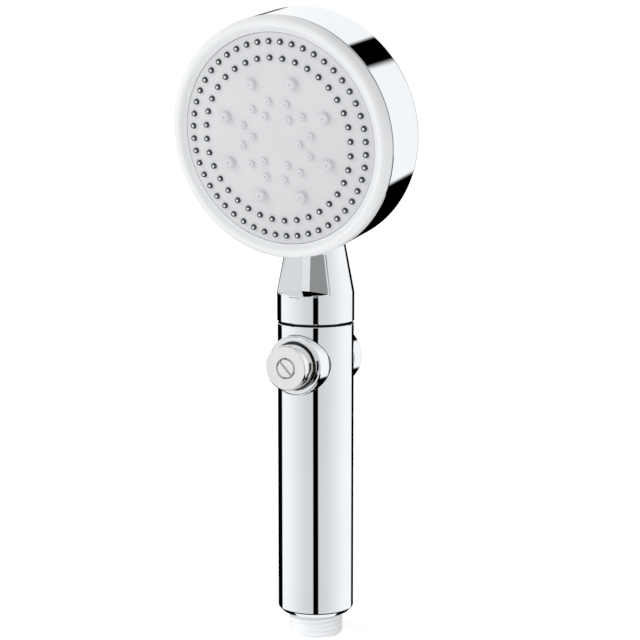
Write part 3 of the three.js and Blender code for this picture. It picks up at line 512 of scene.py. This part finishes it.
makeSprayFace()
makeNozzleMat()
makeDialRing()

shell = {"front": -3.95, "depth": 21.45, "wall": 2.0, "backWall": 2.2, "neckRadius": 14.85, "band": 11.4, "slope": 0.19,
         "rise": 29.6, "inset": 20.9, "spineRadius": 10.4, "spineLength": 42, "scoopDepth": 8.0, "strip": 1.7,
         "sideRise": 10.2, "lean": 3.3, "ramp": 12, "lip": 0.45}


def makeScoop(coneFoot, grow=0):
    half, depth, reach = shell["strip"], shell["scoopDepth"] - grow, 21
    tool = block("scoop", (-half, -30, -10), (half, -depth, 50))
    flanks = []
    for sign in (-1, 1):
        flank = block("flank", (0, -30, -10), (reach, 0, 50))
        turn = Matrix.Rotation(-sign * shell["sideRise"] * degree, 4, "Z")
        corner = Matrix.Translation((sign * half * mm, -depth * mm, 0))
        mirror = Matrix.Scale(sign, 4, (1, 0, 0))
        placed(flank, corner @ turn @ mirror)
        flanks.append(flank)
    for flank in flanks:
        alone(flank)
        bpy.ops.object.mode_set(mode="EDIT")
        bpy.ops.mesh.select_all(action="SELECT")
        bpy.ops.mesh.normals_make_consistent(inside=False)
        bpy.ops.object.mode_set(mode="OBJECT")
        tool = carved(tool, flank, "UNION")
    lean = Matrix.Translation((0, -depth * mm, coneFoot * mm)) @ Matrix.Rotation(-shell["lean"] * degree, 4, "X")
    placed(tool, lean @ Matrix.Translation((0, depth * mm, 0)))
    ramp = Matrix.Translation((0, -shell["neckRadius"] * mm, (coneFoot - 0.7 - grow) * mm)) @ Matrix.Rotation(shell["ramp"] * degree, 4, "X")
    above = placed(block("above", (-40, -60, 0), (40, 60, 70)), ramp)
    return carved(tool, above, "INTERSECT")


def makeHeadShell():
    foot = seam + shell["band"]
    top = handleTop + shell["rise"] + 6
    radius = shell["neckRadius"]
    outline = [(radius - 0.4, seam + 0.2), (radius - 0.15, seam + 0.28), (radius, seam + 0.5), (radius, foot - 0.6),
               (radius - 0.03, foot), (radius - 0.15, foot + 0.7), (radius - (top - foot) * shell["slope"], top)]
    neck = turned("neck", outline, 256)
    neck = carved(neck, makeScoop(foot))
    lip = shell["lip"]
    topRadius = radius - (top + 5 - foot) * shell["slope"] - lip
    core = turned("core", [(radius - lip, seam - 5), (radius - lip, foot), (topRadius, top + 5)], 256)
    neck = carved(neck, carved(makeScoop(foot, lip), core))
    back = shell["front"] - shell["depth"]
    drumOutline = [(headRadius - 1.5, back)] + bow((headRadius - 1.5, back + 1.5), 1.5, -82, 0, 14)
    drumOutline += [(headRadius, shell["front"] - 0.12), (headRadius - 0.12, shell["front"])]
    drum = placed(turned("headShell", drumOutline, 360), headFrame)
    length, wide = shell["spineLength"], shell["spineRadius"]
    ridge = [(wide, 0)]
    for i in range(1, 30):
        t = 1 - (1 - i / 30) ** 2
        ridge.append((wide * math.sqrt(1 - t ** 2.6), length * t))
    spine = turned("spine", ridge + [(0, length)], 128)
    rest = Matrix.Translation((0, (-headRadius + 1.0) * mm, (-shell["inset"] - 0.6) * mm)) @ Matrix.Rotation(-math.pi / 2, 4, "X")
    placed(spine, headFrame @ rest)
    drum = carved(drum, spine, "UNION")
    drum = carved(drum, neck, "UNION")
    bore = headRadius - shell["wall"]
    inside = turned("inside", [(bore, back + shell["backWall"]), (bore, 5)], 240)
    drum = carved(drum, placed(inside, headFrame))
    drum = carved(drum, turned("socket", [(12.85, seam - 1), (12.85, seam + 8.7)], 96))
    drum = carved(drum, turned("riserWay", [(5.8, seam), (5.8, handleTop + shell["rise"] + 3.5)], 48))
    drum = carved(drum, turned("bossRoom", [(7.7, handleTop + shell["rise"] + 2.1), (7.7, handleTop + shell["rise"] + 9.8)], 48))
    drum.name = "headShell"
    finished(drum, "casing", "head_shell", "chromePlate", 9)


makeHeadShell()

# Heights of the valve pieces run out from the handle's axis.
valve = {"collarRadius": 11.46, "opening": 9.2, "flat": 10.3, "collarEnd": 16.9, "hole": 11.6, "button": 8.6,
         "proud": 23.5, "buttonBack": 15.8, "noseRadius": 4.8, "noseHole": 19.5, "dish": 0.04}


def makeHandle():
    bore, lip, slope = handleRadius - 1.8, 10.93, 1.75
    outline = [(lip, handleFoot), (handleRadius - slope - 0.1, handleFoot), (handleRadius - slope + 0.1, handleFoot + 0.1),
               (handleRadius - 0.12, handleFoot + slope - 0.1), (handleRadius, handleFoot + slope + 0.3)]
    outline += [(handleRadius, handleTop - 0.6), (handleRadius - 0.15, handleTop - 0.38), (handleRadius - 0.4, handleTop - 0.3)]
    outline += [(bore, handleTop - 0.3), (bore, handleFoot + 2.5), (lip, handleFoot + 2.5)]
    tube = turned("handleTube", outline, 256, True)
    hole = turned("hole", [(valve["hole"], -25), (valve["hole"], 25)], 160)
    tube = carved(tube, placed(hole, valveFrame))
    finished(tube, "casing", "handle_shell", "chromePlate", 22)


def makeCollar(name, node, place):
    outer, inner, end = valve["collarRadius"], valve["opening"], valve["collarEnd"]
    outline = [(inner, valve["flat"]), (outer, valve["flat"]), (outer, end - 0.7)]
    outline += bow((outer - 0.7, end - 0.7), 0.7, 10, 90, 7) + bow((inner + 0.5, end - 0.5), 0.5, 90, 170, 6)
    piece = turned(name, outline, 160, True)
    finished(placed(piece, place), "casing", node, "chromePlate", 30)


def makeFrontButton():
    radius, end, dish = valve["button"], valve["proud"], valve["dish"]
    outline = [(valve["noseRadius"], valve["noseHole"]), (valve["noseRadius"], valve["buttonBack"]), (radius, valve["buttonBack"]),
               (radius, end - 0.6)]
    outline += bow((radius - 0.6, end - 0.6), 0.6, 12, 84, 7) + [(radius - 1.0, end - dish)]
    button = turned("frontButton", outline, 128)
    bpy.ops.object.select_all(action="DESELECT")
    bpy.ops.mesh.primitive_torus_add(major_radius=3.7 * mm, minor_radius=0.4 * mm, major_segments=72, minor_segments=14,
                                     location=(0, 0, (end - dish) * mm))
    mark = bpy.context.object
    bpy.ops.object.transform_apply()
    bar = bevelled(block("bar", (-3.6, -0.42, end - dish - 0.4), (3.6, 0.42, end - dish + 0.34)), 0.3, 4, 30)
    placed(bar, Matrix.Rotation(-math.pi / 4, 4, "Z"))
    button = carved(button, carved(mark, bar, "UNION"), "UNION")
    finished(placed(button, valveFrame), "stop_shuttle", "front_button", "satinChrome", 25)


def makeRearButton():
    radius, foot, end, dish = valve["button"], valve["flat"], valve["collarEnd"] - 0.5, valve["dish"]
    outline = [(1.7, end - 2), (1.7, foot), (radius, foot), (radius, end - 0.6)]
    outline += bow((radius - 0.6, end - 0.6), 0.6, 12, 84, 7) + [(radius - 1.0, end - dish)]
    finished(placed(turned("rearButton", outline, 128), rearFrame), "stop_shuttle", "rear_button", "satinChrome", 25)


makeHandle()
makeCollar("frontCollar", "front_collar", valveFrame)
makeCollar("rearCollar", "rear_collar", rearFrame)
makeFrontButton()
makeRearButton()

thread = {"crest": 10.4775, "root": 9.3155, "pitch": 1.814, "length": 9.8, "bore": 6.8, "boreEnd": 9.5,
          "wayBore": 5.2}


def makeHoseEnd():
    root, crest, pitch = thread["root"], thread["crest"], thread["pitch"]
    flats = [(root, 0), (root, 0.13), (crest - 0.12, 0.41), (crest, 0.45), (crest, 0.55), (crest - 0.12, 0.59),
             (root, 0.87), (root, 1)]
    bpy.ops.object.select_all(action="DESELECT")
    bpy.ops.mesh.primitive_plane_add(size=mm, location=(0, 0, 0))
    ridge = bpy.context.object
    bpy.ops.object.mode_set(mode="EDIT")
    bpy.ops.mesh.merge(type="CENTER")
    bpy.ops.transform.translate(value=(flats[0][0] * mm, 0, -pitch * mm))
    for before, after in zip(flats, flats[1:]):
        shift = ((after[0] - before[0]) * mm, 0, (after[1] - before[1]) * pitch * mm)
        bpy.ops.mesh.extrude_vertices_move(TRANSFORM_OT_translate={"value": shift})
    bpy.ops.object.mode_set(mode="OBJECT")
    turns = ridge.modifiers.new("turns", "SCREW")
    turns.screw_offset = pitch * mm
    turns.iterations = 7
    turns.steps = turns.render_steps = 96
    turns.use_merge_vertices = True
    turns.merge_threshold = 1e-6
    alone(ridge)
    bpy.ops.object.modifier_apply(modifier="turns")
    bpy.ops.object.mode_set(mode="EDIT")
    for height, lower in ((-0.3, True), (thread["length"] - 0.2, False)):
        bpy.ops.mesh.select_all(action="SELECT")
        bpy.ops.mesh.bisect(plane_co=(0, 0, height * mm), plane_no=(0, 0, 1), use_fill=True, clear_inner=lower,
                            clear_outer=not lower)
    bpy.ops.mesh.select_all(action="SELECT")
    bpy.ops.mesh.remove_doubles(threshold=1e-7)
    bpy.ops.mesh.normals_make_consistent(inside=False)
    bpy.ops.object.mode_set(mode="OBJECT")
    lead = turned("lead", [(root - 0.15, 0), (root + 0.05, 0.05), (crest + 0.3, 1.5), (crest + 0.3, thread["length"] + 1)], 128)
    ridge = carved(ridge, lead, "INTERSECT")
    flange, shoulder = handleFoot + 2.8, span("hose_connector", 2)[1] - 4.8
    body = [(root - 0.3, 6), (root - 0.3, thread["length"] - 0.6), (crest - 0.15, thread["length"] - 0.35),
            (crest - 0.15, flange), (12.5, flange),
            (12.5, flange + 3.4), (8.2, flange + 4.9), (8.2, shoulder - 5.5), (12.5, shoulder - 3.5), (12.5, shoulder), (8, shoulder),
            (8, shoulder + 1.45), (6.35, shoulder + 1.45), (6.35, shoulder + 3.35), (8, shoulder + 3.35), (8, shoulder + 4.8)]
    piece = carved(turned("hoseEnd", body, 96), ridge, "UNION")
    way = [(thread["bore"] + 0.4, -0.3), (thread["bore"], 0.35), (thread["bore"], thread["boreEnd"]),
           (thread["wayBore"], thread["boreEnd"]),
           (thread["wayBore"], shoulder + 8)]
    piece = carved(piece, turned("way", way, 96))
    piece.name = "hoseEnd"
    finished(piece, "casing", "hose_connector", "threadAbs", 30)


makeHoseEnd()
